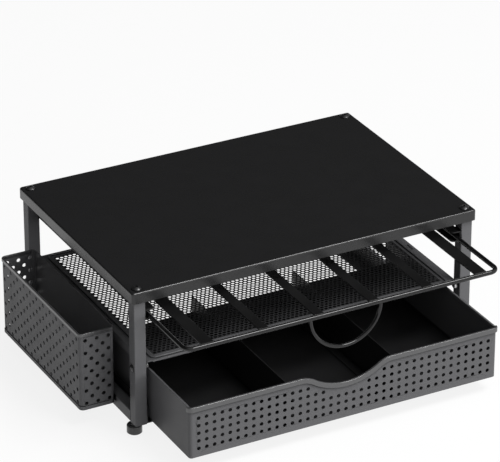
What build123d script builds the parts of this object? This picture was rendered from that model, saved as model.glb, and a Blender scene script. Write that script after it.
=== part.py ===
from build123d import *
import math
import os

# Capsule holder of powder-coated sheet and square tube.
# Millimetres: the counter is Z = 0, the front looks along -Y, X runs to the right.

# Stand
stand_width = 370.0
stand_depth = 252.0
stand_height = 158.0
leg_clearance = 15.0          # counter to the underside of the posts
panel_sheet = 1.2
panel_rim_height = 11.0
panel_bend_radius = 1.8
panel_corner_radius = 3.0
tube_side = 12.0
tube_wall = 1.0
tube_edge_radius = 0.9
post_inset = 2.7              # panel edge to the posts' outer faces

# Bolts through the panel into the post tops
bolt_diameter = 5.0
bolt_length = 12.0            # under the head
bolt_head_diameter = 9.4
bolt_head_height = 2.7
bolt_head_edge = 0.7          # straight edge under the dome
bolt_socket_width = 3.0
bolt_socket_depth = 1.5
bolt_clearance = 0.2          # radial, in the panel and in the inserts
insert_length = 15.0
insert_clearance = 0.05       # each side, inside the tube

# Perforated shelf between the tiers, and its screws
shelf_drop = 78.0             # panel top to the shelf's top
shelf_sheet = 1.0
shelf_flange = 8.5            # folded-down sides, below the shelf's top
shelf_lip = 2.0               # folded-down front and rear, below the shelf's top
shelf_front_setback = 3.0     # from the posts' front faces
shelf_side_gap = 0.1
bead_side_inset = 8.0         # shelf's side edge to the raised bead round the holes
bead_front_inset = 2.6
bead_width = 2.5
bead_height = 1.3
bead_edge_radius = 0.9
bead_corner_radius = 6.0
bead_land = 3.2               # bead to the nearest holes
shelf_hole_diameter = 11.0
shelf_hole_pitch = 17.0
shelf_lip_relief = 7.0        # gap at the corners between the front and side folds
slot_inset = 3.2              # shelf's side edge to the slots for the basket's hooks
screw_diameter = 3.0
screw_head_diameter = 7.0
screw_head_height = 2.1
screw_head_edge = 0.5
screw_clearance = 0.2
screw_tip = 0.8               # beyond the nut
nut_width = 5.5
nut_thickness = 2.4
nut_clearance = 0.2           # to the underside of the shelf

# Upper runners, for the capsule rack
runner_drop = 21.3            # panel top to the runner's top
runner_sheet = 1.0
runner_height = 10.4
runner_flange = 10.0
runner_corner_radius = 3.5
runner_end_setback = 1.0      # from the posts' outer front and rear faces

# Lower runners, for the drawer
angle_sheet = 1.2
angle_height = 20.0
angle_flange = 14.0

# Levelling feet under the bottom rails
foot_end_land = 0.3           # rail end to the hole for the foot's nut
foot_diameter = 15.0
foot_height = 9.0
foot_edge_radius = 1.6
foot_floor_chamfer = 0.8
foot_collar_diameter = 9.5
foot_collar_height = 1.2
stud_diameter = 5.0
stud_seat = 4.0               # length of stud moulded into the foot
stud_reach = 6.0              # length of stud above the underside of the rail
stud_clearance = 0.1          # radial running fit in the nut
stud_chamfer = 0.6
foot_nut_diameter = 6.8
foot_nut_length = 8.0         # above the underside of the rail
foot_nut_flange_diameter = 10.0
foot_nut_flange = 1.0
foot_nut_clearance = 0.05

# Capsule rack, drawn out by rack_pull
rack_pull = 74.0
rack_wire = 4.6
rack_front_proud = 0.9        # wire centre in front of the posts when pushed in
rack_side_gap = 0.5           # wire to the runner's web
rack_lift = 0.3               # wire above the runner's lower flange
rack_stop_gap = 1.2           # rear bar to the runner's closed end when pushed in
rack_corner_radius = 9.0
weld_gap = 0.02               # between welded round wires and what they touch
strip_count = 6
strip_end_gap = 12.45         # outer strips to the side wires
strip_width = 10.0
outer_strip_width = 13.0
strip_sheet = 1.5
strip_overhang = 1.4          # past the centre of the front wire and of the rear bar
handle_wire = 3.8
handle_radius = 37.5

# Drawer, drawn out by drawer_pull
drawer_pull = 77.0
drawer_front_proud = 1.0      # front face in front of the posts when pushed in
drawer_side_gap = 3.9         # drawer side to the runner's web
drawer_lift = 0.2             # drawer floor above the runner's flange
drawer_depth = 210.0
drawer_height = 54.0
drawer_back_height = 26.0     # the back is lower than the front and the sides
drawer_sheet = 1.0
drawer_corner_radius = 3.2
scoop_half_width = 49.5
scoop_depth = 15.0
scoop_shoulder_radius = 28.0
hem_height = 4.5
hem_proud = 1.4
drawer_hole_diameter = 3.8
drawer_hole_pitch_x = 8.2
drawer_hole_pitch_z = 8.05
drawer_hole_rows = 5
drawer_hole_bottom = 9.0      # drawer bottom to the lowest row
drawer_hole_margin = 8.0      # least distance from a hole's centre to the ends
hole_to_hem = 1.6             # least land between a hole and the rolled edge
divider_offset = 56.0         # from the middle of the drawer
divider_height = 44.0
divider_foot = 9.0

# Side basket
basket_length = 178.0
basket_width = 36.0
basket_height = 82.0
basket_shift = 8.8            # basket middle behind the stand's middle
basket_above_shelf = 22.0     # shelf's top to the basket's top
basket_gap = 0.3              # basket to the posts' outer faces
basket_sheet = 1.0
basket_corner_radius = 4.0
basket_hem_height = 3.0
basket_hem_proud = 0.7
basket_base_height = 4.0
basket_base_proud = 0.6
basket_hole_diameter = 3.9
basket_hole_pitch = 7.45      # between neighbouring columns of the long side
basket_end_hole_pitch = 6.0   # between neighbouring columns of the ends
basket_hole_step = 13.5       # between holes of one column
basket_hole_count = 6         # holes in the fuller columns
basket_hole_bottom = 6.7      # basket bottom to the lowest hole
basket_hole_margin = 5.0      # least distance from a hole's centre to the basket's corners
hook_width = 11.0
hook_sheet = 1.2
hook_spacing = 86.0           # between the middles of the two hooks
hook_drop = 6.0               # tip of the hook below the shelf's top
hook_weld_length = 16.0       # overlap with the basket's inner wall
hook_clearance = 0.25         # hook to the shelf, above it and in its slots

overcut = 1.0                 # how far a cut runs past the faces that it leaves

# Positions that follow from those sizes
front_face = -stand_depth / 2 + post_inset
rear_face = -front_face
outer_face = stand_width / 2 - post_inset
inner_face = outer_face - tube_side
post_x = outer_face - tube_side / 2
post_y = rear_face - tube_side / 2
panel_underside = stand_height - panel_sheet
rail_length = 2 * (post_y - tube_side / 2)
shelf_top = stand_height - shelf_drop
shelf_half_width = inner_face - shelf_side_gap
shelf_front = front_face + shelf_front_setback
screw_z = shelf_top - shelf_sheet - nut_width / math.sqrt(3) - nut_clearance
foot_y = rail_length / 2 - foot_end_land - foot_nut_clearance - foot_nut_diameter / 2
stud_foot = foot_height + foot_collar_height - stud_seat

runner_top = stand_height - runner_drop
runner_bottom = runner_top - runner_height
runner_front = front_face + runner_end_setback
runner_rear = -runner_front
rack_z = runner_bottom + runner_sheet + rack_lift + rack_wire / 2
rack_half_width = inner_face - runner_sheet - rack_side_gap - rack_wire / 2
rack_closed_y = front_face - rack_front_proud
rack_front = rack_closed_y - rack_pull
rack_closed_rear = runner_rear - runner_sheet - rack_stop_gap - rack_wire / 2
rack_rear = rack_closed_rear - rack_pull
outer_strip_x = rack_half_width - rack_wire / 2 - strip_end_gap - outer_strip_width / 2

drawer_bottom = leg_clearance + angle_sheet + drawer_lift
drawer_top = drawer_bottom + drawer_height
drawer_half_width = inner_face - angle_sheet - drawer_side_gap
drawer_front = front_face - drawer_front_proud - drawer_pull
drawer_rear = drawer_front + drawer_depth
drawer_side_start = drawer_front + drawer_corner_radius

basket_top = shelf_top + basket_above_shelf
basket_bottom = basket_top - basket_height
basket_inner = -outer_face - basket_gap
basket_x = basket_inner - basket_width / 2

sides = {"left": -1, "right": 1}
ends = {"front": -1, "rear": 1}
upwards = (Align.CENTER, Align.CENTER, Align.MIN)
downwards = (Align.CENTER, Align.CENTER, Align.MAX)


def block(low, high):
    size = [b - a for a, b in zip(low, high)]
    middle = [(a + b) / 2 for a, b in zip(low, high)]
    return Pos(*middle) * Box(*size)


def mirrored_block(side, low, high):
    # low and high are given for the right-hand side
    if side > 0:
        return block(low, high)
    return block((-high[0], low[1], low[2]), (-low[0], high[1], high[2]))


def square_tube(length):
    bore = tube_side - 2 * tube_wall
    section = RectangleRounded(tube_side, tube_side, tube_edge_radius) - Rectangle(bore, bore)
    return extrude(section, length)


def drill(radius, start, direction, length):
    return Plane(start, z_dir=direction) * Cylinder(radius, length, align=upwards)


def holed_plate(outline, centres, radius, thickness):
    holes = [Wire.make_circle(radius, Plane((x, y, 0))) for x, y in centres]
    return extrude(Face(outline, holes), thickness, dir=(0, 0, 1))


# Stand

def top_panel():
    skin = Box(stand_width, stand_depth, panel_rim_height, align=downwards)
    skin = fillet(skin.edges().filter_by(Axis.Z), panel_corner_radius)
    skin = fillet(skin.edges().group_by(Axis.Z)[-1], panel_bend_radius)
    hollow = Box(
        stand_width - 2 * panel_sheet,
        stand_depth - 2 * panel_sheet,
        panel_rim_height,
        align=downwards,
    )
    hollow = fillet(hollow.edges().filter_by(Axis.Z), panel_corner_radius - panel_sheet)
    hollow = fillet(hollow.edges().group_by(Axis.Z)[-1], panel_bend_radius - panel_sheet)
    panel = skin - Pos(0, 0, -panel_sheet) * hollow
    panel = Pos(0, 0, stand_height) * panel
    radius = bolt_diameter / 2 + bolt_clearance
    for x in (-post_x, post_x):
        for y in (-post_y, post_y):
            panel -= drill(radius, (x, y, panel_underside - overcut), (0, 0, 1), panel_sheet + 2 * overcut)
    return panel


def post(side, end):
    tube = Pos(side * post_x, end * post_y, leg_clearance) * square_tube(panel_underside - leg_clearance)
    start = (side * (inner_face - overcut), end * post_y, screw_z)
    return tube - drill(screw_diameter / 2 + screw_clearance, start, (side, 0, 0), tube_side + 2 * overcut)


def bottom_rail(side):
    front_end = (side * post_x, -rail_length / 2, leg_clearance + tube_side / 2)
    rail = Plane(front_end, x_dir=(1, 0, 0), z_dir=(0, 1, 0)) * square_tube(rail_length)
    radius = foot_nut_diameter / 2 + foot_nut_clearance
    for end in ends.values():
        start = (side * post_x, end * foot_y, leg_clearance - overcut)
        rail -= drill(radius, start, (0, 0, 1), tube_wall + 2 * overcut)
    return rail


def button_head(diameter, height, edge):
    # a low dome on a short straight edge, standing on Z = 0
    radius = ((diameter / 2) ** 2 + (height - edge) ** 2) / (2 * (height - edge))
    dome = Pos(0, 0, height - radius) * Sphere(radius)
    return Cylinder(diameter / 2, height, align=upwards) & dome


def top_bolt(x, y):
    bolt = button_head(bolt_head_diameter, bolt_head_height, bolt_head_edge)
    socket = extrude(RegularPolygon(bolt_socket_width / 2, 6, major_radius=False), bolt_socket_depth)
    bolt -= Pos(0, 0, bolt_head_height - bolt_socket_depth) * socket
    shank = Cylinder(bolt_diameter / 2, bolt_length, align=downwards)
    return Pos(x, y, stand_height) * (bolt + shank)


def post_insert(x, y):
    side = tube_side - 2 * (tube_wall + insert_clearance)
    plug = Box(side, side, insert_length, align=downwards)
    plug -= Cylinder(bolt_diameter / 2 + bolt_clearance, 2 * (insert_length + overcut))
    return Pos(x, y, panel_underside) * plug


def shelf_hole_centres():
    row_step = shelf_hole_pitch * math.sqrt(3) / 2
    margin = bead_width + bead_land + shelf_hole_diameter / 2
    reach_x = shelf_half_width - bead_side_inset - margin
    reach_y = -shelf_front - bead_front_inset - margin
    rows = 2 * math.floor(reach_y / row_step) + 1
    centres = []
    for row in range(rows):
        y = (row - (rows - 1) / 2) * row_step
        stagger = 0.5 * (row % 2)
        steps = math.floor(reach_x / shelf_hole_pitch - stagger)
        centres += [((k + stagger) * shelf_hole_pitch, y) for k in range(-steps - row % 2, steps + 1)]
    return centres


def shelf_bead():
    width = 2 * (shelf_half_width - bead_side_inset)
    depth = 2 * (-shelf_front - bead_front_inset)
    plan = RectangleRounded(width, depth, bead_corner_radius)
    plan -= RectangleRounded(width - 2 * bead_width, depth - 2 * bead_width, bead_corner_radius - bead_width)
    bead = extrude(plan, bead_height)
    bead = fillet(bead.edges().group_by(Axis.Z)[-1], bead_edge_radius)
    return Pos(0, 0, shelf_top) * bead


def hook_y(end):
    return basket_shift + end * hook_spacing / 2


def hook_slot(side, end):
    outer = shelf_half_width - slot_inset
    room = hook_width / 2 + hook_clearance
    return mirrored_block(
        side,
        (outer - hook_sheet - 2 * hook_clearance, hook_y(end) - room, shelf_top - shelf_sheet - overcut),
        (outer, hook_y(end) + room, shelf_top + overcut),
    )


def shelf():
    half = shelf_half_width
    low = shelf_top - shelf_flange
    underside = shelf_top - shelf_sheet
    outline = Wire.make_polygon(
        [(-half, shelf_front), (half, shelf_front), (half, -shelf_front), (-half, -shelf_front)]
    )
    sheet = holed_plate(outline, shelf_hole_centres(), shelf_hole_diameter / 2, shelf_sheet)
    sheet = Pos(0, 0, underside) * sheet
    fold = half - shelf_sheet
    hole_radius = screw_diameter / 2 + screw_clearance
    for side in sides.values():
        flange = mirrored_block(side, (fold, shelf_front, low), (half, -shelf_front, underside))
        for end in ends.values():
            start = (side * (fold - overcut), end * post_y, screw_z)
            flange -= drill(hole_radius, start, (side, 0, 0), shelf_sheet + 2 * overcut)
            sheet -= hook_slot(side, end)
        sheet += flange
    inside = fold - shelf_lip_relief
    for end in ends.values():
        lip_y = sorted((end * shelf_front, end * (shelf_front + shelf_sheet)))
        sheet += block((-inside, lip_y[0], shelf_top - shelf_lip), (inside, lip_y[1], underside))
    return sheet + shelf_bead()


def shelf_screw(side, end):
    length = tube_side + shelf_side_gap + shelf_sheet + nut_thickness + screw_tip
    screw = button_head(screw_head_diameter, screw_head_height, screw_head_edge)
    screw += Cylinder(screw_diameter / 2, length, align=downwards)
    return Plane((side * outer_face, end * post_y, screw_z), z_dir=(side, 0, 0)) * screw


def shelf_nut(side, end):
    nut = extrude(RegularPolygon(nut_width / 2, 6, major_radius=False), nut_thickness)
    nut -= Cylinder(screw_diameter / 2 + screw_clearance, 2 * (nut_thickness + overcut))
    seat = (side * (shelf_half_width - shelf_sheet), end * post_y, screw_z)
    return Plane(seat, x_dir=(0, 0, 1), z_dir=(-side, 0, 0)) * nut


def upper_runner(side):
    # a channel open towards the middle of the stand, closed at its rear end
    low = (inner_face - runner_flange, runner_front, runner_bottom)
    high = (inner_face, runner_rear, runner_top)
    channel = mirrored_block(side, low, high)
    mouth = mirrored_block(
        side,
        (low[0] - overcut, low[1] - overcut, low[2] + runner_sheet),
        (high[0] - runner_sheet, high[1] - runner_sheet, high[2] - runner_sheet),
    )
    channel -= mouth
    inner_front = (side * low[0], runner_front)
    corners = [
        edge
        for edge in channel.edges().filter_by(Axis.Z)
        if math.dist(inner_front, tuple(edge.center())[:2]) < runner_sheet / 2
    ]
    return fillet(corners, runner_corner_radius)


def lower_runner(side):
    web = mirrored_block(
        side,
        (inner_face - angle_sheet, runner_front, leg_clearance),
        (inner_face, runner_rear, leg_clearance + angle_height),
    )
    flange = mirrored_block(
        side,
        (inner_face - angle_flange, runner_front, leg_clearance),
        (inner_face - angle_sheet, runner_rear, leg_clearance + angle_sheet),
    )
    return web + flange


# Levelling feet

def foot_nut(side, end):
    body = Cylinder(foot_nut_diameter / 2, foot_nut_length, align=upwards)
    body += Cylinder(foot_nut_flange_diameter / 2, foot_nut_flange, align=downwards)
    reach = max(foot_nut_length, foot_nut_flange) + overcut
    body -= Cylinder(stud_diameter / 2 + stud_clearance, 2 * reach)
    return Pos(side * post_x, end * foot_y, leg_clearance) * body


def foot_base(side, end):
    base = Cylinder(foot_diameter / 2, foot_height, align=upwards)
    base = fillet(base.edges().group_by(Axis.Z)[-1], foot_edge_radius)
    base = chamfer(base.edges().group_by(Axis.Z)[0], foot_floor_chamfer)
    base += Pos(0, 0, foot_height) * Cylinder(foot_collar_diameter / 2, foot_collar_height, align=upwards)
    base -= drill(stud_diameter / 2, (0, 0, stud_foot), (0, 0, 1), stud_seat + overcut)
    return Pos(side * post_x, end * foot_y, 0) * base


def foot_stud(side, end):
    stud = Cylinder(stud_diameter / 2, leg_clearance + stud_reach - stud_foot, align=upwards)
    stud = chamfer(stud.edges().group_by(Axis.Z)[-1], stud_chamfer)
    return Pos(side * post_x, end * foot_y, stud_foot) * stud


# Capsule rack

def rack_rim():
    # one bent wire: two sides and the front, with round front corners
    half = rack_half_width
    rear = rack_rear + rack_wire / 2
    path = FilletPolyline(
        (-half, rear, rack_z),
        (-half, rack_front, rack_z),
        (half, rack_front, rack_z),
        (half, rear, rack_z),
        radius=rack_corner_radius,
    )
    section = Plane((-half, rear, rack_z), z_dir=(0, -1, 0)) * Circle(rack_wire / 2)
    return sweep(section, path=path)


def rack_rear_bar():
    reach = rack_half_width - rack_wire / 2 - weld_gap
    return drill(rack_wire / 2, (-reach, rack_rear, rack_z), (1, 0, 0), 2 * reach)


def rack_strip(index):
    x = outer_strip_x * (2 * index / (strip_count - 1) - 1)
    width = outer_strip_width if index in (0, strip_count - 1) else strip_width
    seat = rack_z + rack_wire / 2 + weld_gap
    low = (x - width / 2, rack_front - strip_overhang, seat)
    high = (x + width / 2, rack_rear + strip_overhang, seat + strip_sheet)
    return block(low, high)


def rack_handle():
    # a half ring hanging from the front wire
    start = (-handle_radius, rack_front, rack_z)
    lowest = (0, rack_front, rack_z - handle_radius)
    path = ThreePointArc(start, lowest, (handle_radius, rack_front, rack_z))
    section = Plane(start, z_dir=(0, 0, -1)) * Circle(handle_wire / 2)
    ring = sweep(section, path=path)
    wire_room = rack_wire / 2 + weld_gap
    reach = 2 * handle_radius
    return ring - drill(wire_room, (-reach, rack_front, rack_z), (1, 0, 0), 2 * reach)


# Drawer

scoop_radius_sum = (scoop_half_width**2 + scoop_depth**2) / (2 * scoop_depth)
scoop_bowl_radius = scoop_radius_sum - scoop_shoulder_radius
scoop_angle = math.asin(scoop_half_width / scoop_radius_sum)


def scoop_edge_height(x):
    # height of the front's top edge at x
    across = abs(x)
    if across >= scoop_half_width:
        return drawer_top
    if across <= scoop_bowl_radius * math.sin(scoop_angle):
        return drawer_top - scoop_depth + scoop_bowl_radius - math.sqrt(scoop_bowl_radius**2 - across**2)
    run = scoop_half_width - across
    return drawer_top - scoop_shoulder_radius + math.sqrt(scoop_shoulder_radius**2 - run**2)


def scoop_line(drop, half):
    # the scooped top edge, moved inwards by drop, from left to right
    top = drawer_top - drop
    shoulder = scoop_shoulder_radius - drop
    bowl = scoop_bowl_radius + drop
    turn = math.degrees(scoop_angle)
    shoulder_z = drawer_top - scoop_shoulder_radius
    bowl_z = drawer_top - scoop_depth + scoop_bowl_radius
    return [
        Line((-half, top), (-scoop_half_width, top)),
        CenterArc((-scoop_half_width, shoulder_z), shoulder, 90, -turn),
        CenterArc((0, bowl_z), bowl, 270 - turn, 2 * turn),
        CenterArc((scoop_half_width, shoulder_z), shoulder, 90 + turn, -turn),
        Line((scoop_half_width, top), (half, top)),
    ]


def drawer_hole_centres():
    half = drawer_half_width - drawer_hole_margin
    columns = math.floor(2 * half / drawer_hole_pitch_x) + 1
    land = hem_height + hole_to_hem + drawer_hole_diameter / 2
    centres = []
    for column in range(columns):
        x = (column - (columns - 1) / 2) * drawer_hole_pitch_x
        room = min(scoop_edge_height(x - land / 2), scoop_edge_height(x + land / 2)) - land
        for row in range(drawer_hole_rows):
            z = drawer_bottom + drawer_hole_bottom + row * drawer_hole_pitch_z
            if z <= room:
                centres.append((x, z))
    return centres


def front_corner(side, outer_radius, wall, low, high):
    # a quarter of a tube round the drawer's front corner
    ring = Circle(outer_radius) - Circle(outer_radius - wall)
    reach = 2 * outer_radius
    quarter = ring & (Pos(side * outer_radius, -outer_radius) * Rectangle(reach, reach))
    middle = (side * (drawer_half_width - drawer_corner_radius), drawer_side_start, low)
    return Pos(*middle) * extrude(quarter, high - low, dir=(0, 0, 1))


def drawer_front_panel():
    flat = drawer_half_width - drawer_corner_radius
    outline = Wire([
        *[edge for line in scoop_line(0, flat) for edge in line.edges()],
        *Line((flat, drawer_top), (flat, drawer_bottom)).edges(),
        *Line((flat, drawer_bottom), (-flat, drawer_bottom)).edges(),
        *Line((-flat, drawer_bottom), (-flat, drawer_top)).edges(),
    ])
    plate = holed_plate(outline, drawer_hole_centres(), drawer_hole_diameter / 2, drawer_sheet)
    upright = Plane((0, drawer_front + drawer_sheet, 0), x_dir=(1, 0, 0), z_dir=(0, -1, 0))
    panel = upright * plate
    band = Wire([
        *[edge for line in scoop_line(0, flat) for edge in line.edges()],
        *Line((flat, drawer_top), (flat, drawer_top - hem_height)).edges(),
        *[edge for line in scoop_line(hem_height, flat) for edge in line.edges()],
        *Line((-flat, drawer_top), (-flat, drawer_top - hem_height)).edges(),
    ])
    hem = extrude(Face(band), hem_proud, dir=(0, 0, 1))
    panel += Plane((0, drawer_front, 0), x_dir=(1, 0, 0), z_dir=(0, -1, 0)) * hem
    hem_low = drawer_top - hem_height
    for side in sides.values():
        panel += front_corner(side, drawer_corner_radius, drawer_sheet, drawer_bottom, drawer_top)
        panel += front_corner(side, drawer_corner_radius + hem_proud, hem_proud, hem_low, drawer_top)
    return panel


def drawer_side(side):
    half = drawer_half_width
    wall = mirrored_block(
        side, (half - drawer_sheet, drawer_side_start, drawer_bottom), (half, drawer_rear, drawer_top)
    )
    fold = mirrored_block(
        side,
        (half - 2 * drawer_sheet, drawer_side_start, drawer_top - hem_height),
        (half - drawer_sheet, drawer_rear - drawer_sheet, drawer_top),
    )
    return wall + fold


def drawer_back():
    half = drawer_half_width - drawer_sheet
    top = drawer_bottom + drawer_back_height
    wall = block((-half, drawer_rear - drawer_sheet, drawer_bottom), (half, drawer_rear, top))
    fold = block(
        (-half + drawer_sheet, drawer_rear - 2 * drawer_sheet, top - hem_height),
        (half - drawer_sheet, drawer_rear - drawer_sheet, top),
    )
    return wall + fold


def drawer_floor():
    half = drawer_half_width - drawer_sheet
    narrow = half - drawer_corner_radius
    top = drawer_bottom + drawer_sheet
    main_sheet = block((-half, drawer_side_start, drawer_bottom), (half, drawer_rear - drawer_sheet, top))
    front_strip = block(
        (-narrow, drawer_front + drawer_sheet, drawer_bottom), (narrow, drawer_side_start, top)
    )
    return main_sheet + front_strip


def drawer_divider(side):
    low = drawer_bottom + drawer_sheet
    front = drawer_front + drawer_sheet
    rear = drawer_rear - 2 * drawer_sheet
    inner = divider_offset - divider_foot
    outer = divider_offset + drawer_sheet
    wall = mirrored_block(side, (divider_offset, front, low), (outer, rear, low + divider_height))
    foot = mirrored_block(side, (inner, front, low), (divider_offset, rear, low + drawer_sheet))
    return wall + foot


# Side basket

def basket_block(grow, low, high):
    # the basket's plan, grown outwards by grow except on the side against the stand
    width = basket_width + grow
    plan = RectangleRounded(width, basket_length + 2 * grow, basket_corner_radius + grow)
    return Pos(basket_inner - width / 2, basket_shift, low) * extrude(plan, high - low)


def basket_inside(low, high):
    width = basket_width - 2 * basket_sheet
    plan = RectangleRounded(width, basket_length - 2 * basket_sheet, basket_corner_radius - basket_sheet)
    return Pos(basket_x, basket_shift, low) * extrude(plan, high - low)


def basket_hole_grid(span, pitch):
    # every second column sits half a step higher and has one hole fewer
    columns = 2 * math.floor((span / 2 - basket_hole_margin) / pitch) + 1
    centres = []
    for column in range(columns):
        across = (column - (columns - 1) / 2) * pitch
        odd = column % 2
        for step in range(basket_hole_count - odd):
            height = basket_bottom + basket_hole_bottom + (step + 0.5 * odd) * basket_hole_step
            centres.append((across, height))
    return centres


def basket_wall():
    wall = basket_block(0, basket_bottom + basket_sheet, basket_top)
    wall += basket_block(basket_hem_proud, basket_top - basket_hem_height, basket_top)
    wall -= basket_inside(basket_bottom, basket_top + overcut)
    radius = basket_hole_diameter / 2
    outer = basket_inner - basket_width
    depth = basket_sheet + 2 * overcut
    cuts = []
    for y, z in basket_hole_grid(basket_length, basket_hole_pitch):
        cuts.append(drill(radius, (outer - overcut, basket_shift + y, z), (1, 0, 0), depth))
    for end in ends.values():
        start = basket_shift + end * (basket_length / 2 + overcut)
        for x, z in basket_hole_grid(basket_width, basket_end_hole_pitch):
            cuts.append(drill(radius, (basket_x + x, start, z), (0, -end, 0), depth))
    return wall - cuts


def basket_floor():
    # a shallow tray under the wall, whose edge wraps the wall's foot on the three outer sides
    rim_top = basket_bottom + basket_base_height
    tray = basket_block(basket_base_proud, basket_bottom, rim_top)
    tray -= basket_block(0, basket_bottom + basket_sheet, rim_top + overcut)
    reach = basket_length / 2 + basket_base_proud + overcut
    return tray - block(
        (basket_inner - basket_corner_radius, basket_shift - reach, basket_bottom + basket_sheet),
        (basket_inner + overcut, basket_shift + reach, rim_top + overcut),
    )


def basket_hook(end):
    # up the basket's inner wall, over the shelf's edge and down into its slot
    low_y = hook_y(end) - hook_width / 2
    high_y = hook_y(end) + hook_width / 2
    bridge_low = shelf_top + hook_clearance
    bridge_top = bridge_low + hook_sheet
    leg_x = basket_inner + hook_sheet
    lip_x = -shelf_half_width + slot_inset + hook_clearance
    leg = block((basket_inner, low_y, bridge_top - hook_weld_length), (leg_x, high_y, bridge_top))
    bridge = block((leg_x, low_y, bridge_low), (lip_x + hook_sheet, high_y, bridge_top))
    lip = block((lip_x, low_y, shelf_top - hook_drop), (lip_x + hook_sheet, high_y, bridge_low))
    return leg + bridge + lip


def corners_of(maker):
    return [maker(side, end) for side in sides.values() for end in ends.values()]


def write(name, *solids):
    shape = solids[0] if len(solids) == 1 else Compound(children=list(solids))
    export_step(shape, f"parts/{name}.step")


def main():
    os.makedirs("parts", exist_ok=True)
    write("top_panel", top_panel())
    for end_name, end in ends.items():
        for side_name, side in sides.items():
            place = f"{end_name}_{side_name}"
            write(f"post_{place}", post(side, end))
            write(f"foot_base_{place}", foot_base(side, end))
            write(f"foot_stud_{place}", foot_stud(side, end))
        write(f"basket_hook_{end_name}", basket_hook(end))
    for side_name, side in sides.items():
        write(f"bottom_rail_{side_name}", bottom_rail(side))
        write(f"upper_runner_{side_name}", upper_runner(side))
        write(f"lower_runner_{side_name}", lower_runner(side))
        write(f"drawer_side_{side_name}", drawer_side(side))
        write(f"drawer_divider_{side_name}", drawer_divider(side))
    write("top_bolts", *corners_of(lambda side, end: top_bolt(side * post_x, end * post_y)))
    write("post_inserts", *corners_of(lambda side, end: post_insert(side * post_x, end * post_y)))
    write("mesh_shelf", shelf())
    write("shelf_screws", *corners_of(shelf_screw))
    write("shelf_nuts", *corners_of(shelf_nut))
    write("foot_nuts", *corners_of(foot_nut))
    write("rack_rim_wire", rack_rim())
    write("rack_rear_bar", rack_rear_bar())
    for index in range(strip_count):
        write(f"rack_strip_{index + 1}", rack_strip(index))
    write("rack_handle", rack_handle())
    write("drawer_front", drawer_front_panel())
    write("drawer_back", drawer_back())
    write("drawer_floor", drawer_floor())
    write("basket_wall", basket_wall())
    write("basket_floor", basket_floor())


main()
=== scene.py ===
import math

import bpy
from mathutils import Matrix, Vector


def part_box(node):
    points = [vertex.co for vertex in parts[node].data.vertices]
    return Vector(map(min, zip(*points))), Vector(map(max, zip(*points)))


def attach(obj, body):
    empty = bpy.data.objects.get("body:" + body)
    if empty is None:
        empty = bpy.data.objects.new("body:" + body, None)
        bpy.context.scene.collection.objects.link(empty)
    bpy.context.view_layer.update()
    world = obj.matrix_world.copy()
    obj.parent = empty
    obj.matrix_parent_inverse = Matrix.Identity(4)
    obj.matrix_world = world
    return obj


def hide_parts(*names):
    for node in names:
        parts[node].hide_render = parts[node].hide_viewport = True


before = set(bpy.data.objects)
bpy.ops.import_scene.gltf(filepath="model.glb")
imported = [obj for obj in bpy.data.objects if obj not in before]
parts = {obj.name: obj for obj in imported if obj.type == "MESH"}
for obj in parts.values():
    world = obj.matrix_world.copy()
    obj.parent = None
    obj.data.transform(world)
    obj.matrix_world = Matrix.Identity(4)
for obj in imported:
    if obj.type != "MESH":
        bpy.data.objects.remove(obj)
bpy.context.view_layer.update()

mm = 0.001  # lengths in the dictionaries are in millimetres, other than the studio's
print("frame loaded with", len(parts), "nodes")


# Finishes

noiseMiddle = (0.3, 0.7)  # most values of a noise lie between these


def newFinish(name):
    finish = bpy.data.materials.new(name)
    finish.use_nodes = True
    tree = finish.node_tree
    tree.nodes.clear()
    output = tree.nodes.new("ShaderNodeOutputMaterial")
    shader = tree.nodes.new("ShaderNodeBsdfPrincipled")
    tree.links.new(shader.outputs["BSDF"], output.inputs["Surface"])
    return finish, tree, shader


def noiseAt(tree, size, detail, stretch=(1, 1, 1)):
    # size is that of one grain
    coords = tree.nodes.new("ShaderNodeTexCoord")
    place = tree.nodes.new("ShaderNodeMapping")
    place.inputs["Scale"].default_value = stretch
    noise = tree.nodes.new("ShaderNodeTexNoise")
    noise.inputs["Scale"].default_value = 1 / (size * mm)
    noise.inputs["Detail"].default_value = detail
    tree.links.new(coords.outputs["Object"], place.inputs["Vector"])
    tree.links.new(place.outputs["Vector"], noise.inputs["Vector"])
    return noise.outputs["Fac"]


def rangeOf(tree, source, low, high, taken=noiseMiddle):
    # spreads the taken stretch of the source over low to high
    span = tree.nodes.new("ShaderNodeMapRange")
    span.inputs["From Min"].default_value, span.inputs["From Max"].default_value = taken
    span.inputs["To Min"].default_value = low
    span.inputs["To Max"].default_value = high
    tree.links.new(source, span.inputs["Value"])
    return span.outputs["Result"]


def tintOf(tree, source, dark, light):
    ramp = tree.nodes.new("ShaderNodeValToRGB")
    for stop, place, tint in zip(ramp.color_ramp.elements, noiseMiddle, (dark, light)):
        stop.position = place
        stop.color = (*tint, 1)
    tree.links.new(source, ramp.inputs["Fac"])
    return ramp.outputs["Color"]


def bumpOf(tree, source, depth, strength, under=None):
    bump = tree.nodes.new("ShaderNodeBump")
    bump.inputs["Distance"].default_value = depth * mm
    bump.inputs["Strength"].default_value = strength
    tree.links.new(source, bump.inputs["Height"])
    if under is not None:
        tree.links.new(under, bump.inputs["Normal"])
    return bump.outputs["Normal"]


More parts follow.
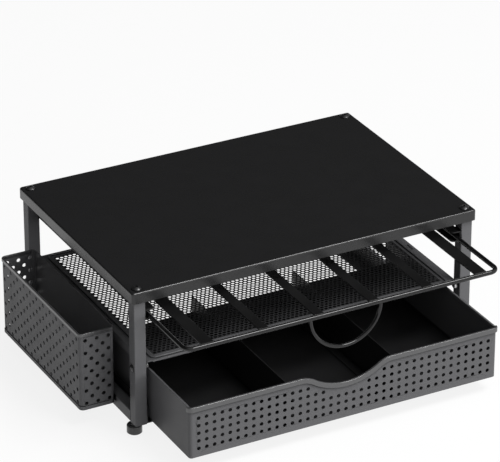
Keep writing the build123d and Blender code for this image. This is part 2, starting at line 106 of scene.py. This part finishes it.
# one black powder coat in lit and shaded copies: the frame and sheet copies are painted lighter than the
# coat's own black, painted light; the panel, roll, mesh and inside copies are painted darker, painted shade
powderLooks = {
    "panelCoat": {"dark": 0.008, "light": 0.011, "rough": (0.25, 0.31), "specular": 0.55, "relief": 0.05},
    "frameCoat": {"dark": 0.092, "light": 0.108, "rough": (0.34, 0.42), "specular": 0.10, "relief": 0.5},
    "sheetCoat": {"dark": 0.080, "light": 0.096, "rough": (0.34, 0.42), "specular": 0.10, "relief": 0.5},
    "rollCoat": {"dark": 0.036, "light": 0.044, "rough": (0.27, 0.33), "specular": 1.00, "relief": 0.05},
    "shadedMeshCoat": {"dark": 0.030, "light": 0.038, "rough": (0.34, 0.42), "specular": 0.10, "relief": 0.5},
    "stripCoat": {"dark": 0.003, "light": 0.005, "rough": (0.26, 0.34), "specular": 0.42, "relief": 0.2},
    "shadedInsideCoat": {"dark": 0.008, "light": 0.012, "rough": (0.40, 0.48), "specular": 0.4, "relief": 0.6},
    "wireCoat": {"dark": 0.003, "light": 0.005, "rough": (0.06, 0.09), "specular": 0.42, "relief": 0.05},
}
powderGrain = {
    "speck": {"size": 0.35, "detail": 2, "depth": 0.012, "strength": 0.3},
    "peel": {"size": 1.6, "detail": 2, "depth": 0.03, "strength": 0.35},
    "patch": {"size": 22.0, "detail": 3},
    "blueness": 1.04,
}
# painted shade: how far and how strongly the coat's base colour is darkened in tight corners
paintedShadeSpec = {"reach": 3.5, "closed": 0.68, "open": 0.94, "shade": 0.05, "samples": 8}


def paintedCreviceShade(tree, spec):
    # painted shade: a factor on the base colour, one in the open, less in tight corners, which come out
    # darker
    nearby = tree.nodes.new("ShaderNodeAmbientOcclusion")
    nearby.samples = spec["samples"]
    nearby.inputs["Distance"].default_value = spec["reach"] * mm
    return rangeOf(tree, nearby.outputs["AO"], spec["shade"], 1, (spec["closed"], spec["open"]))


def powderCoat(name, look):
    # satin powder coat: a fine speck over a soft orange peel, its colour darkened by painted shade in tight
    # corners
    finish, tree, shader = newFinish(name)
    speckSpec, peelSpec, patchSpec = powderGrain["speck"], powderGrain["peel"], powderGrain["patch"]
    speck = noiseAt(tree, speckSpec["size"], speckSpec["detail"])
    peel = noiseAt(tree, peelSpec["size"], peelSpec["detail"])
    patch = noiseAt(tree, patchSpec["size"], patchSpec["detail"])
    dark, light = [(tone, tone, tone * powderGrain["blueness"]) for tone in (look["dark"], look["light"])]
    # the speck's tint, darkened by painted shade in tight corners
    paintedShadeTint = tree.nodes.new("ShaderNodeVectorMath")
    paintedShadeTint.operation = "SCALE"
    tree.links.new(tintOf(tree, speck, dark, light), paintedShadeTint.inputs["Vector"])
    tree.links.new(paintedCreviceShade(tree, paintedShadeSpec), paintedShadeTint.inputs["Scale"])
    tree.links.new(paintedShadeTint.outputs["Vector"], shader.inputs["Base Color"])
    shader.inputs["Specular IOR Level"].default_value = look["specular"]
    tree.links.new(rangeOf(tree, patch, *look["rough"]), shader.inputs["Roughness"])
    soft = bumpOf(tree, peel, peelSpec["depth"], peelSpec["strength"] * look["relief"])
    fine = bumpOf(tree, speck, speckSpec["depth"], speckSpec["strength"] * look["relief"], soft)
    tree.links.new(fine, shader.inputs["Normal"])
    return finish


def grainedFinish(name, look):
    # one noise tints the surface and varies its gloss
    finish, tree, shader = newFinish(name)
    grain = noiseAt(tree, look["grain"], look["detail"], look["stretch"])
    tree.links.new(tintOf(tree, grain, look["dark"], look["light"]), shader.inputs["Base Color"])
    tree.links.new(rangeOf(tree, grain, *look["rough"]), shader.inputs["Roughness"])
    return finish, tree, shader, grain


screwLook = {
    "dark": (0.008, 0.008, 0.0085),
    "light": (0.012, 0.012, 0.0125),
    "rough": (0.24, 0.32),
    "grain": 0.5,
    "detail": 2,
    "stretch": (1, 1, 1),
    "depth": 0.01,
    "strength": 0.2,
}
footLook = {
    "dark": (0.030, 0.030, 0.031),
    "light": (0.046, 0.046, 0.047),
    "rough": (0.08, 0.12),
    "grain": 3.0,
    "detail": 3,
    "stretch": (1, 1, 1),
    "depth": 0.01,
    "strength": 0.15,
}


def bumpyFinish(name, look):
    # blackened screws and moulded feet, whose grain can also be felt
    finish, tree, shader, grain = grainedFinish(name, look)
    tree.links.new(bumpOf(tree, grain, look["depth"], look["strength"]), shader.inputs["Normal"])
    return finish


zincLook = {
    "dark": (0.46, 0.46, 0.47),
    "light": (0.62, 0.62, 0.62),
    "rough": (0.26, 0.40),
    "grain": 1.2,
    "detail": 4,
    "stretch": (1, 1, 4),
}


def zincFinish(name, look):
    finish, _, shader, _ = grainedFinish(name, look)
    shader.inputs["Metallic"].default_value = 1.0
    return finish


finishes = {name: powderCoat(name, look) for name, look in powderLooks.items()}
finishes["blackScrew"] = bumpyFinish("blackScrew", screwLook)
finishes["zincPlate"] = zincFinish("zincPlate", zincLook)
finishes["footPlastic"] = bumpyFinish("footPlastic", footLook)
print("finishes made:", len(finishes))


# CAD pieces that keep their shape: a finish each, and a small round on the folded and sheared edges

nodeFinishes = {
    "top_panel": "panelCoat",
    "top_bolts": "blackScrew",
    "shelf_screws": "blackScrew",
    "shelf_nuts": "zincPlate",
    "post_inserts": "zincPlate",
    "foot_nuts": "zincPlate",
    "foot_base_": "footPlastic",
    "rack_strip_": "stripCoat",
    "rack_": "wireCoat",
    # the drawer's inside parts and the runners take the darker copy of the coat, painted shade
    "upper_runner_": "shadedInsideCoat",
    "lower_runner_": "shadedInsideCoat",
    "drawer_floor": "shadedInsideCoat",
    "drawer_back": "shadedInsideCoat",
    "drawer_divider_": "shadedInsideCoat",
    "drawer_": "sheetCoat",
    "basket_": "sheetCoat",
    "": "frameCoat",
}
edgeRounds = {
    "rack_strip_": 0.30,
    "drawer_side_": 0.42,
    "drawer_back": 0.30,
    "drawer_divider_": 0.30,
    "upper_runner_": 0.25,
    "lower_runner_": 0.30,
    "drawer_front": 0.22,
    "basket_wall": 0.16,
    "basket_floor": 0.40,
}
edgeCut = {"weld": 0.002, "segments": 3, "sharpFrom": 40}  # sharpFrom in degrees


def lookUp(table, name):
    # the first entry that the name starts with counts
    for start, value in table.items():
        if name.startswith(start):
            return value
    return None


def roundEdges(piece, width):
    weld = piece.modifiers.new("weld", "WELD")
    weld.merge_threshold = edgeCut["weld"] * mm
    bevel = piece.modifiers.new("edges", "BEVEL")
    bevel.width = width * mm
    bevel.segments = edgeCut["segments"]
    bevel.limit_method = "ANGLE"
    bevel.angle_limit = math.radians(edgeCut["sharpFrom"])
    bevel.use_clamp_overlap = False


for name, piece in parts.items():
    piece.data.materials.clear()
    piece.data.materials.append(finishes[lookUp(nodeFinishes, name)])
    edge = lookUp(edgeRounds, name)
    if edge:
        roundEdges(piece, edge)
print("CAD pieces dressed")


# Tools for the modelled pieces

arcSteps = 8  # along a bend of a quarter turn
creaseFrom = 35  # degrees between two faces from which their edge stays sharp
axisY, axisZ = Vector((0, 1, 0)), Vector((0, 0, 1))


def addPiece(name, mesh, body, finish, slot, *nodes):
    piece = bpy.data.objects.new(name, mesh)
    bpy.context.scene.collection.objects.link(piece)
    mesh.materials.append(finishes[finish])
    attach(piece, body)
    if nodes:
        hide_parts(*nodes)
    return piece


def meshOf(name, points, faces, smooth=True):
    mesh = bpy.data.meshes.new(name)
    mesh.from_pydata(points, [], faces)
    mesh.update()
    for face in mesh.polygons:
        face.use_smooth = smooth
    return mesh


def ringsOf(stations, profile):
    # stations are (point, out, up); each profile point (a, b) lies at point + a * out + b * up
    return [[point + out * a + up * b for a, b in profile] for point, out, up in stations]


def meshOfRings(name, rings, closed=False):
    size = len(rings[0])
    count = len(rings)
    points = [point for ring in rings for point in ring]
    faces = []
    for i in range(count if closed else count - 1):
        here = i * size
        there = (i + 1) % count * size
        for k in range(size):
            n = (k + 1) % size
            faces.append((here + k, here + n, there + n, there + k))
    if not closed:
        faces.append(tuple(reversed(range(size))))
        faces.append(tuple((count - 1) * size + k for k in range(size)))
    return meshOf(name, points, faces)


def roundedProfile(left, right, low, high, radii, steps=6):
    # a rectangle with its own radius at each corner, from the lower left one, anticlockwise
    corners = [(left, low, 180), (right, low, 270), (right, high, 0), (left, high, 90)]
    profile = []
    for (x, y, start), radius in zip(corners, radii):
        cx = x + radius if x == left else x - radius
        cy = y + radius if y == low else y - radius
        for k in range(steps + 1):
            angle = math.radians(start + 90 * k / steps)
            profile.append((cx + radius * math.cos(angle), cy + radius * math.sin(angle)))
    return profile


def arcPoints(centre, radius, start, turn, steps=arcSteps):
    # (x, y, angle) along an arc
    angles = [math.radians(start + turn * k / steps) for k in range(steps + 1)]
    return [(centre[0] + radius * math.cos(a), centre[1] + radius * math.sin(a), a) for a in angles]


def cornerStations(centre, radius, start, height):
    # a quarter turn at one height, facing outwards
    stations = []
    for x, y, angle in arcPoints(centre, radius, start, 90):
        stations.append((Vector((x, y, height)), Vector((math.cos(angle), math.sin(angle), 0)), axisZ))
    return stations


def creaseEdges(piece):
    piece.data.set_sharp_from_angle(angle=math.radians(creaseFrom))


# Perforated shelf: staggered holes inside a raised bead, sides and ends folded down

shelfSpec = {
    "sheet": 1.0,
    "mesh": 0.4,
    "hole": 3.5,
    "holeSides": 10,
    "pitch": 4.6,
    "beadSide": 8.0,
    "beadFront": 2.6,
    "beadWidth": 2.5,
    "beadHeight": 1.3,
    "beadCorner": 6.0,
    "beadRoot": 0.2,
    "beadSteps": 9,
    "land": 3.2,
    "lip": 2.0,
    "lipRelief": 8.0,
    "bend": 0.4,
    "hookSheet": 1.2,
    "hookRoom": 0.25,
}


def shelfField(spec, halfX, halfY, top):
    # one six-sided cell round each hole; the outer cells are squared off at the border
    cellSides = 6
    cellStep = 360 / cellSides
    snap = 0.001 * mm  # corners closer than this are one
    pitch = spec["pitch"] * mm
    cell = pitch / math.sqrt(3)
    rowStep = 1.5 * cell
    radius = spec["hole"] * mm / 2
    columns = math.floor(2 * halfX / pitch)
    rows = 2 * math.floor((halfY - cell) / rowStep) + 1
    reachX = columns * pitch / 2
    reachY = (rows - 1) / 2 * rowStep + cell
    points = []
    faces = []
    known = {}

    def corner(x, y):
        key = (round(x / snap), round(y / snap))
        if key not in known:
            known[key] = len(points)
            points.append((x, y, top))
        return known[key]

    for row in range(rows):
        y = (row - (rows - 1) / 2) * rowStep
        odd = row % 2
        for column in range(columns - odd):
            x = (column - (columns - 1 - odd) / 2) * pitch
            outer = []
            for k in range(cellSides):
                angle = math.radians(cellStep * (k + 0.5))
                cornerY = y + cell * math.sin(angle)
                if row == rows - 1 and cornerY > y:
                    cornerY = reachY
                if row == 0 and cornerY < y:
                    cornerY = -reachY
                outer.append(corner(x + cell * math.cos(angle), cornerY))
            # the hole's points, sorted by the cell corner nearest to each
            rims = [[] for k in range(cellSides)]
            for k in range(spec["holeSides"]):
                turn = 360 * (k + 0.5) / spec["holeSides"]
                rims[round(turn / cellStep - 0.5) % cellSides].append(len(points))
                angle = math.radians(turn)
                points.append((x + radius * math.cos(angle), y + radius * math.sin(angle), top))
            for k in range(cellSides):
                following = (k + 1) % cellSides
                for before, after in zip(rims[k], rims[k][1:]):
                    faces.append((outer[k], after, before))
                faces.append((outer[k], outer[following], rims[following][0], rims[k][-1]))
        if odd:
            for side in (-1, 1):
                ring = [
                    corner(side * reachX, y - cell),
                    corner(side * (reachX - pitch / 2), y - cell / 2),
                    corner(side * (reachX - pitch / 2), y + cell / 2),
                    corner(side * reachX, y + cell),
                ]
                faces.append(tuple(ring if side < 0 else reversed(ring)))
    return points, faces, reachX, reachY


def hookSlots(spec):
    # (low x, high x, low y, high y) of each slot for the basket's hooks, alike on both sides of the shelf
    room = spec["hookRoom"] * mm
    slots = []
    for node in ("basket_hook_front", "basket_hook_rear"):
        low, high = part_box(node)
        inner = -high.x - room
        outer = -high.x + spec["hookSheet"] * mm + room
        slots.append((-outer, -inner, low.y - room, high.y + room))
        slots.append((inner, outer, low.y - room, high.y + room))
    return slots


def shelfBorder(low, high, reachX, reachY, spec):
    # one folded sheet: a flat frame round the holes, with its sides and ends turned down
    digits = 7  # decimals of a metre, so that equal places come out equal
    top = high.z - spec["beadHeight"] * mm
    lipLow = top - spec["lip"] * mm
    lipEnd = high.x - spec["lipRelief"] * mm
    gaps = [(-reachX, reachX, -reachY, reachY), *hookSlots(spec)]
    xs = sorted({round(x, digits) for gap in gaps for x in gap[:2]} | {low.x, high.x, -lipEnd, lipEnd})
    ys = sorted({round(y, digits) for gap in gaps for y in gap[2:]} | {low.y, high.y})
    points = []
    faces = []
    known = {}

    def addFace(*ring):
        for point in ring:
            if point not in known:
                known[point] = len(points)
                points.append(point)
        faces.append([known[point] for point in ring])

    for x0, x1 in zip(xs, xs[1:]):
        for y0, y1 in zip(ys, ys[1:]):
            x, y = (x0 + x1) / 2, (y0 + y1) / 2
            if not any(a < x < b and c < y < d for a, b, c, d in gaps):
                addFace((x0, y0, top), (x1, y0, top), (x1, y1, top), (x0, y1, top))
        if -lipEnd < (x0 + x1) / 2 < lipEnd:
            addFace((x1, ys[0], top), (x0, ys[0], top), (x0, ys[0], lipLow), (x1, ys[0], lipLow))
            addFace((x0, ys[-1], top), (x1, ys[-1], top), (x1, ys[-1], lipLow), (x0, ys[-1], lipLow))
    for y0, y1 in zip(ys, ys[1:]):
        addFace((xs[0], y0, top), (xs[0], y1, top), (xs[0], y1, low.z), (xs[0], y0, low.z))
        addFace((xs[-1], y1, top), (xs[-1], y0, top), (xs[-1], y0, low.z), (xs[-1], y1, low.z))
    return meshOf("shelfBorder", points, faces, smooth=False)


def shelfBead(high, spec):
    top = high.z - spec["beadHeight"] * mm
    radius = (spec["beadCorner"] - spec["beadWidth"] / 2) * mm
    halfX = high.x - (spec["beadSide"] + spec["beadWidth"] / 2) * mm
    halfY = high.y - (spec["beadFront"] + spec["beadWidth"] / 2) * mm
    stations = []
    for signX, signY, start in ((1, 1, 0), (-1, 1, 90), (-1, -1, 180), (1, -1, 270)):
        stations += cornerStations((signX * (halfX - radius), signY * (halfY - radius)), radius, start, top)
    across = spec["beadWidth"] * mm / 2
    rise = spec["beadHeight"] * mm
    angles = [math.pi * k / spec["beadSteps"] for k in range(spec["beadSteps"] + 1)]
    profile = [(across * math.cos(angle), rise * math.sin(angle)) for angle in angles]
    profile.append((0, -spec["beadRoot"] * mm))
    return meshOfRings("shelfBead", ringsOf(stations, profile), closed=True)


def thicken(piece, sheet):
    solid = piece.modifiers.new("sheet", "SOLIDIFY")
    solid.thickness = sheet * mm
    solid.offset = -1
    solid.use_even_offset = True


def makeShelf(spec):
    low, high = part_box("mesh_shelf")
    top = high.z - spec["beadHeight"] * mm
    inset = spec["beadWidth"] + spec["land"]
    halfX = high.x - (spec["beadSide"] + inset) * mm
    halfY = high.y - (spec["beadFront"] + inset) * mm
    points, faces, reachX, reachY = shelfField(spec, halfX, halfY, top)
    # the perforated field takes a darker copy of the coat than its border and bead, painted shade
    field = addPiece("shelfPerforated", meshOf("shelfPerforated", points, faces, smooth=False),
                     "stand", "shadedMeshCoat", "black_powder_coat", "mesh_shelf")
    thicken(field, spec["mesh"])
    border = addPiece("shelfBorder", shelfBorder(low, high, reachX, reachY, spec),
                      "stand", "frameCoat", "black_powder_coat")
    thicken(border, spec["sheet"])
    roundEdges(border, spec["bend"])
    addPiece("shelfBead", shelfBead(high, spec), "stand", "frameCoat", "black_powder_coat")
    return len(points)


print("shelf made, points:", makeShelf(shelfSpec))


# Drawer front: the rolled top edge over the folded sheet, along the scoop and round both corners

drawerRoll = {
    "sheet": 1.0,
    "proud": 1.4,
    "height": 4.5,
    "cover": 0.2,
    "cornerRadius": 3.2,
    "scoopHalf": 49.5,
    "scoopDepth": 15.0,
    "scoopSteps": 20,
    "shoulder": 28.0,
    "topRound": 0.8,
    "footRound": 0.2,
    "backRound": 0.3,
    "bullnose": 0.7,
}


def drawerRollStations(spec):
    low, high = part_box("drawer_front")
    top = high.z
    face = low.y + spec["proud"] * mm
    corner = spec["cornerRadius"] * mm
    halfWidth = high.x - spec["proud"] * mm
    flat = halfWidth - corner
    back = face + corner
    radiusSum = (spec["scoopHalf"] ** 2 + spec["scoopDepth"] ** 2) / (2 * spec["scoopDepth"])
    turn = math.degrees(math.asin(spec["scoopHalf"] / radiusSum))
    shoulder = spec["shoulder"] * mm
    bowl = (radiusSum - spec["shoulder"]) * mm
    scoopX = spec["scoopHalf"] * mm
    lowest = top - spec["scoopDepth"] * mm
    scoop = [
        (-scoopX, top - shoulder, shoulder, 90, -turn, 1),
        (0, lowest + bowl, bowl, 270 - turn, 2 * turn, -1),
        (scoopX, top - shoulder, shoulder, 90 + turn, -turn, 1),
    ]
    stations = cornerStations((-flat, back), corner, 180, top)
    for x0, z0, radius, start, bend, facing in scoop:
        for x, z, angle in arcPoints((x0, z0), radius, start, bend, spec["scoopSteps"]):
            up = Vector((math.cos(angle), 0, math.sin(angle))) * facing
            stations.append((Vector((x, face, z)), -axisY, up))
    return stations + cornerStations((flat, back), corner, 270, top)


def rollProfile(spec):
    # a rolled edge's section, a little larger all round than the square one of the solid
    cover = spec["cover"]
    radii = [spec[key] * mm for key in ("backRound", "footRound", "topRound", "topRound")]
    return roundedProfile(-(spec["sheet"] + cover) * mm, (spec["proud"] + cover) * mm,
                          -(spec["height"] + cover) * mm, cover * mm, radii)


nose = {"turn": 85, "shrink": 0.45, "steps": 4}  # turn in degrees


def bullnosed(stations, profile, reach):
    # the rings of an edge, with more past both ends that draw in like a rounded rod end
    midA = sum(a for a, b in profile) / len(profile)
    midB = sum(b for a, b in profile) / len(profile)
    rings = ringsOf(stations, profile)
    for end in (0, -1):
        point, out, up = stations[end]
        neighbour = stations[1 if end == 0 else -2][0]
        away = (point - neighbour).normalized()
        away -= out * away.dot(out) + up * away.dot(up)
        away.normalize()
        extra = []
        for k in range(1, nose["steps"] + 1):
            angle = math.radians(nose["turn"] * k / nose["steps"])
            shrink = 1 - nose["shrink"] * (1 - math.cos(angle))
            centre = point + away * reach * math.sin(angle)
            drawnIn = [(midA + (a - midA) * shrink, midB + (b - midB) * shrink) for a, b in profile]
            extra += ringsOf([(centre, out, up)], drawnIn)
        rings = extra[::-1] + rings if end == 0 else rings + extra
    return rings


def makeDrawerRoll(spec):
    rings = bullnosed(drawerRollStations(spec), rollProfile(spec), spec["bullnose"] * mm)
    roll = addPiece("drawerRolledEdge", meshOfRings("drawerRolledEdge", rings), "drawer", "rollCoat",
                    "black_powder_coat")
    creaseEdges(roll)


makeDrawerRoll(drawerRoll)
print("drawer edge rolled")


# Side basket: rolled rim on its three outer sides, and hooks bent from strip

basketRoll = {
    "sheet": 1.0,
    "proud": 0.7,
    "height": 3.0,
    "cover": 0.16,
    "cornerRadius": 4.0,
    "topRound": 0.65,
    "footRound": 0.15,
    "backRound": 0.2,
    "bullnose": 0.4,
}


def makeBasketRoll(spec):
    low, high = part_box("basket_wall")
    proud = spec["proud"] * mm
    radius = spec["cornerRadius"] * mm
    outerX = low.x + proud
    rearY = high.y - proud
    frontY = low.y + proud
    innerEnd = high.x - radius
    stations = [(Vector((innerEnd, rearY, high.z)), axisY, axisZ)]
    stations += cornerStations((outerX + radius, rearY - radius), radius, 90, high.z)
    stations += cornerStations((outerX + radius, frontY + radius), radius, 180, high.z)
    stations.append((Vector((innerEnd, frontY, high.z)), -axisY, axisZ))
    rings = bullnosed(stations, rollProfile(spec), spec["bullnose"] * mm)
    rim = addPiece("basketRolledRim", meshOfRings("basketRolledRim", rings), "side_basket", "rollCoat",
                   "black_powder_coat")
    creaseEdges(rim)


hookSpec = {"sheet": shelfSpec["hookSheet"], "lipDrop": 7.45, "bend": 1.9, "edge": 0.25, "edgeSteps": 3}


def makeHook(name, node, spec):
    # leg, bridge over the shelf's edge and lip, with round bends; the path runs along the strip's middle
    low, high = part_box(node)
    half = spec["sheet"] * mm / 2
    bend = spec["bend"] * mm
    legX, lipX = low.x + half, high.x - half
    top = high.z - half
    middle = (low.y + high.y) / 2
    line = [(legX, low.z, math.pi)]
    line += arcPoints((legX + bend, top - bend), bend, 180, -90)
    line += arcPoints((lipX - bend, top - bend), bend, 90, -90)
    line.append((lipX, high.z - spec["lipDrop"] * mm, 0))
    stations = [(Vector((x, middle, z)), Vector((math.cos(a), 0, math.sin(a))), axisY) for x, z, a in line]
    width = (high.y - low.y) / 2
    profile = roundedProfile(-half, half, -width, width, [spec["edge"] * mm] * 4, spec["edgeSteps"])
    hook = addPiece(name, meshOfRings(name, ringsOf(stations, profile)), "side_basket", "sheetCoat",
                    "black_powder_coat", node)
    creaseEdges(hook)


makeBasketRoll(basketRoll)
makeHook("hookFront", "basket_hook_front", hookSpec)
makeHook("hookRear", "basket_hook_rear", hookSpec)
print("basket rim and hooks made")


# Levelling studs with a real thread

studSpec = {"pitch": 0.8, "depth": 0.45, "around": 28, "perTurn": 8, "tip": 0.6, "tipShare": 0.8}


def makeStud(place, spec):
    node = "foot_stud_" + place
    low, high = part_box(node)
    radius = (high.x - low.x) / 2
    middle = (low + high) / 2
    turns = (high.z - low.z) / (spec["pitch"] * mm)
    levels = round(turns * spec["perTurn"])
    around = spec["around"]
    points = []
    for level in range(levels + 1):
        z = low.z + (high.z - low.z) * level / levels
        for k in range(around):
            phase = (level / spec["perTurn"] + k / around) % 1
            cut = spec["depth"] * mm * abs(2 * phase - 1)
            taper = min(1, max(0, (high.z - z) / (spec["tip"] * mm)))
            reach = (radius - cut) * (spec["tipShare"] + (1 - spec["tipShare"]) * taper)
            angle = 2 * math.pi * k / around
            points.append((middle.x + reach * math.cos(angle), middle.y - reach * math.sin(angle), z))
    faces = [tuple(range(around)), tuple(levels * around + k for k in reversed(range(around)))]
    for level in range(levels):
        for k in range(around):
            n = (k + 1) % around
            here = level * around
            faces.append((here + n, here + k, here + around + k, here + around + n))
    addPiece("threadedStud_" + place, meshOf("threadedStud_" + place, points, faces), "foot_" + place,
             "zincPlate", "zinc_steel", node)


for place in ("front_left", "front_right", "rear_left", "rear_right"):
    makeStud(place, studSpec)
print("studs threaded")


# Studio, in metres: pale floor, soft boxes, camera as in the photograph

floorSpec = {
    "half": 40.0,
    "drop": 0.00005,  # clear of the feet
    "tone": (0.82, 0.82, 0.82),
    "rough": 0.7,
    "specular": 0.2,
    "whiteness": 0.85,
}


def whitenForCamera(tree, shader, share):
    # seen directly or mirrored, the floor is part plain white;
    # the soft light that it throws back stays as it is
    white = tree.nodes.new("ShaderNodeEmission")
    white.inputs["Color"].default_value = (1, 1, 1, 1)
    ray = tree.nodes.new("ShaderNodeLightPath")
    seen = ray.outputs["Is Camera Ray"]
    for kind in ("Is Glossy Ray", "Is Transmission Ray"):
        either = tree.nodes.new("ShaderNodeMath")
        either.operation = "MAXIMUM"
        tree.links.new(seen, either.inputs[0])
        tree.links.new(ray.outputs[kind], either.inputs[1])
        seen = either.outputs["Value"]
    amount = tree.nodes.new("ShaderNodeMath")
    amount.operation = "MULTIPLY"
    amount.inputs[1].default_value = share
    mix = tree.nodes.new("ShaderNodeMixShader")
    tree.links.new(seen, amount.inputs[0])
    tree.links.new(amount.outputs["Value"], mix.inputs["Fac"])
    tree.links.new(shader.outputs["BSDF"], mix.inputs[1])
    tree.links.new(white.outputs["Emission"], mix.inputs[2])
    output = next(node for node in tree.nodes if node.type == "OUTPUT_MATERIAL")
    tree.links.new(mix.outputs["Shader"], output.inputs["Surface"])


def makeFloor(spec):
    reach = spec["half"]
    mesh = bpy.data.meshes.new("floor")
    corners = [(-reach, -reach, 0), (reach, -reach, 0), (reach, reach, 0), (-reach, reach, 0)]
    mesh.from_pydata(corners, [], [(0, 1, 2, 3)])
    floor = bpy.data.objects.new("floor", mesh)
    bpy.context.scene.collection.objects.link(floor)
    finish, tree, shader = newFinish("paleFloor")
    shader.inputs["Base Color"].default_value = (*spec["tone"], 1)
    shader.inputs["Roughness"].default_value = spec["rough"]
    shader.inputs["Specular IOR Level"].default_value = spec["specular"]
    whitenForCamera(tree, shader, spec["whiteness"])
    mesh.materials.append(finish)
    floor.location.z = -spec["drop"]


skySpec = {"bright": (0.36, -0.70, 0.62), "pale": 1.05, "dim": 0.04, "dimUntil": 0.15, "paleFrom": 0.95}


def makeSky(spec):
    # pale around the bright direction, in front and overhead, and dim behind the object
    world = bpy.data.worlds.new("studio")
    world.use_nodes = True
    bpy.context.scene.world = world
    tree = world.node_tree
    coords = tree.nodes.new("ShaderNodeTexCoord")
    facing = tree.nodes.new("ShaderNodeVectorMath")
    facing.operation = "DOT_PRODUCT"
    facing.inputs[1].default_value = spec["bright"]
    fade = tree.nodes.new("ShaderNodeMapRange")
    fade.interpolation_type = "SMOOTHSTEP"
    fade.inputs["From Min"].default_value = spec["dimUntil"]
    fade.inputs["From Max"].default_value = spec["paleFrom"]
    fade.inputs["To Min"].default_value = spec["dim"]
    fade.inputs["To Max"].default_value = spec["pale"]
    tree.links.new(coords.outputs["Generated"], facing.inputs[0])
    tree.links.new(facing.outputs["Value"], fade.inputs["Value"])
    back = tree.nodes["Background"]
    back.inputs["Color"].default_value = (1, 1, 1, 1)
    tree.links.new(fade.outputs["Result"], back.inputs["Strength"])


softBoxes = {
    "overhead": {
        "place": (0.75, -1.05, 2.3),
        "aim": (0, 0, 0),
        "size": (1.6, 0.6),
        "watts": 50,
        "mirrored": True,
    },
    "frontRight": {
        "place": (2.1, -4.0, 0.75),
        "aim": (0.05, -0.15, 0.08),
        "size": (3.0, 1.2),
        "watts": 92,
        "mirrored": False,  # it only fills, so that the panel doesn't glare when seen from behind
    },
}


def addSoftBox(name, spec):
    data = bpy.data.lights.new(name, "AREA")
    data.shape = "RECTANGLE"
    data.size, data.size_y = spec["size"]
    data.energy = spec["watts"]
    lamp = bpy.data.objects.new(name, data)
    bpy.context.scene.collection.objects.link(lamp)
    lamp.location = spec["place"]
    lamp.visible_glossy = spec["mirrored"]
    towards = Vector(spec["aim"]) - Vector(spec["place"])
    lamp.rotation_euler = towards.to_track_quat("-Z", "Y").to_euler()


photoCamera = {
    "place": (-1.3464, -2.5469, 1.6013),
    "right": (0.8834, -0.4685, 0.0),
    "up": (0.2140, 0.4035, 0.8896),
    "lens": 238.75,  # millimetres, as is the sensor
    "sensor": 36.0,
    "farthest": 60.0,
}


def makeCamera(spec):
    data = bpy.data.cameras.new("photoCamera")
    data.lens = spec["lens"]
    data.sensor_width = spec["sensor"]
    data.clip_end = spec["farthest"]
    camera = bpy.data.objects.new("photoCamera", data)
    bpy.context.scene.collection.objects.link(camera)
    right = Vector(spec["right"]).normalized()
    back = right.cross(Vector(spec["up"])).normalized()
    turn = Matrix((right, back.cross(right), back)).transposed()
    camera.matrix_world = Matrix.Translation(spec["place"]) @ turn.to_4x4()
    bpy.context.scene.camera = camera


makeFloor(floorSpec)
makeSky(skySpec)
for name, spec in softBoxes.items():
    addSoftBox(name, spec)
makeCamera(photoCamera)
bpy.context.scene.view_settings.view_transform = "Standard"
print("studio set")
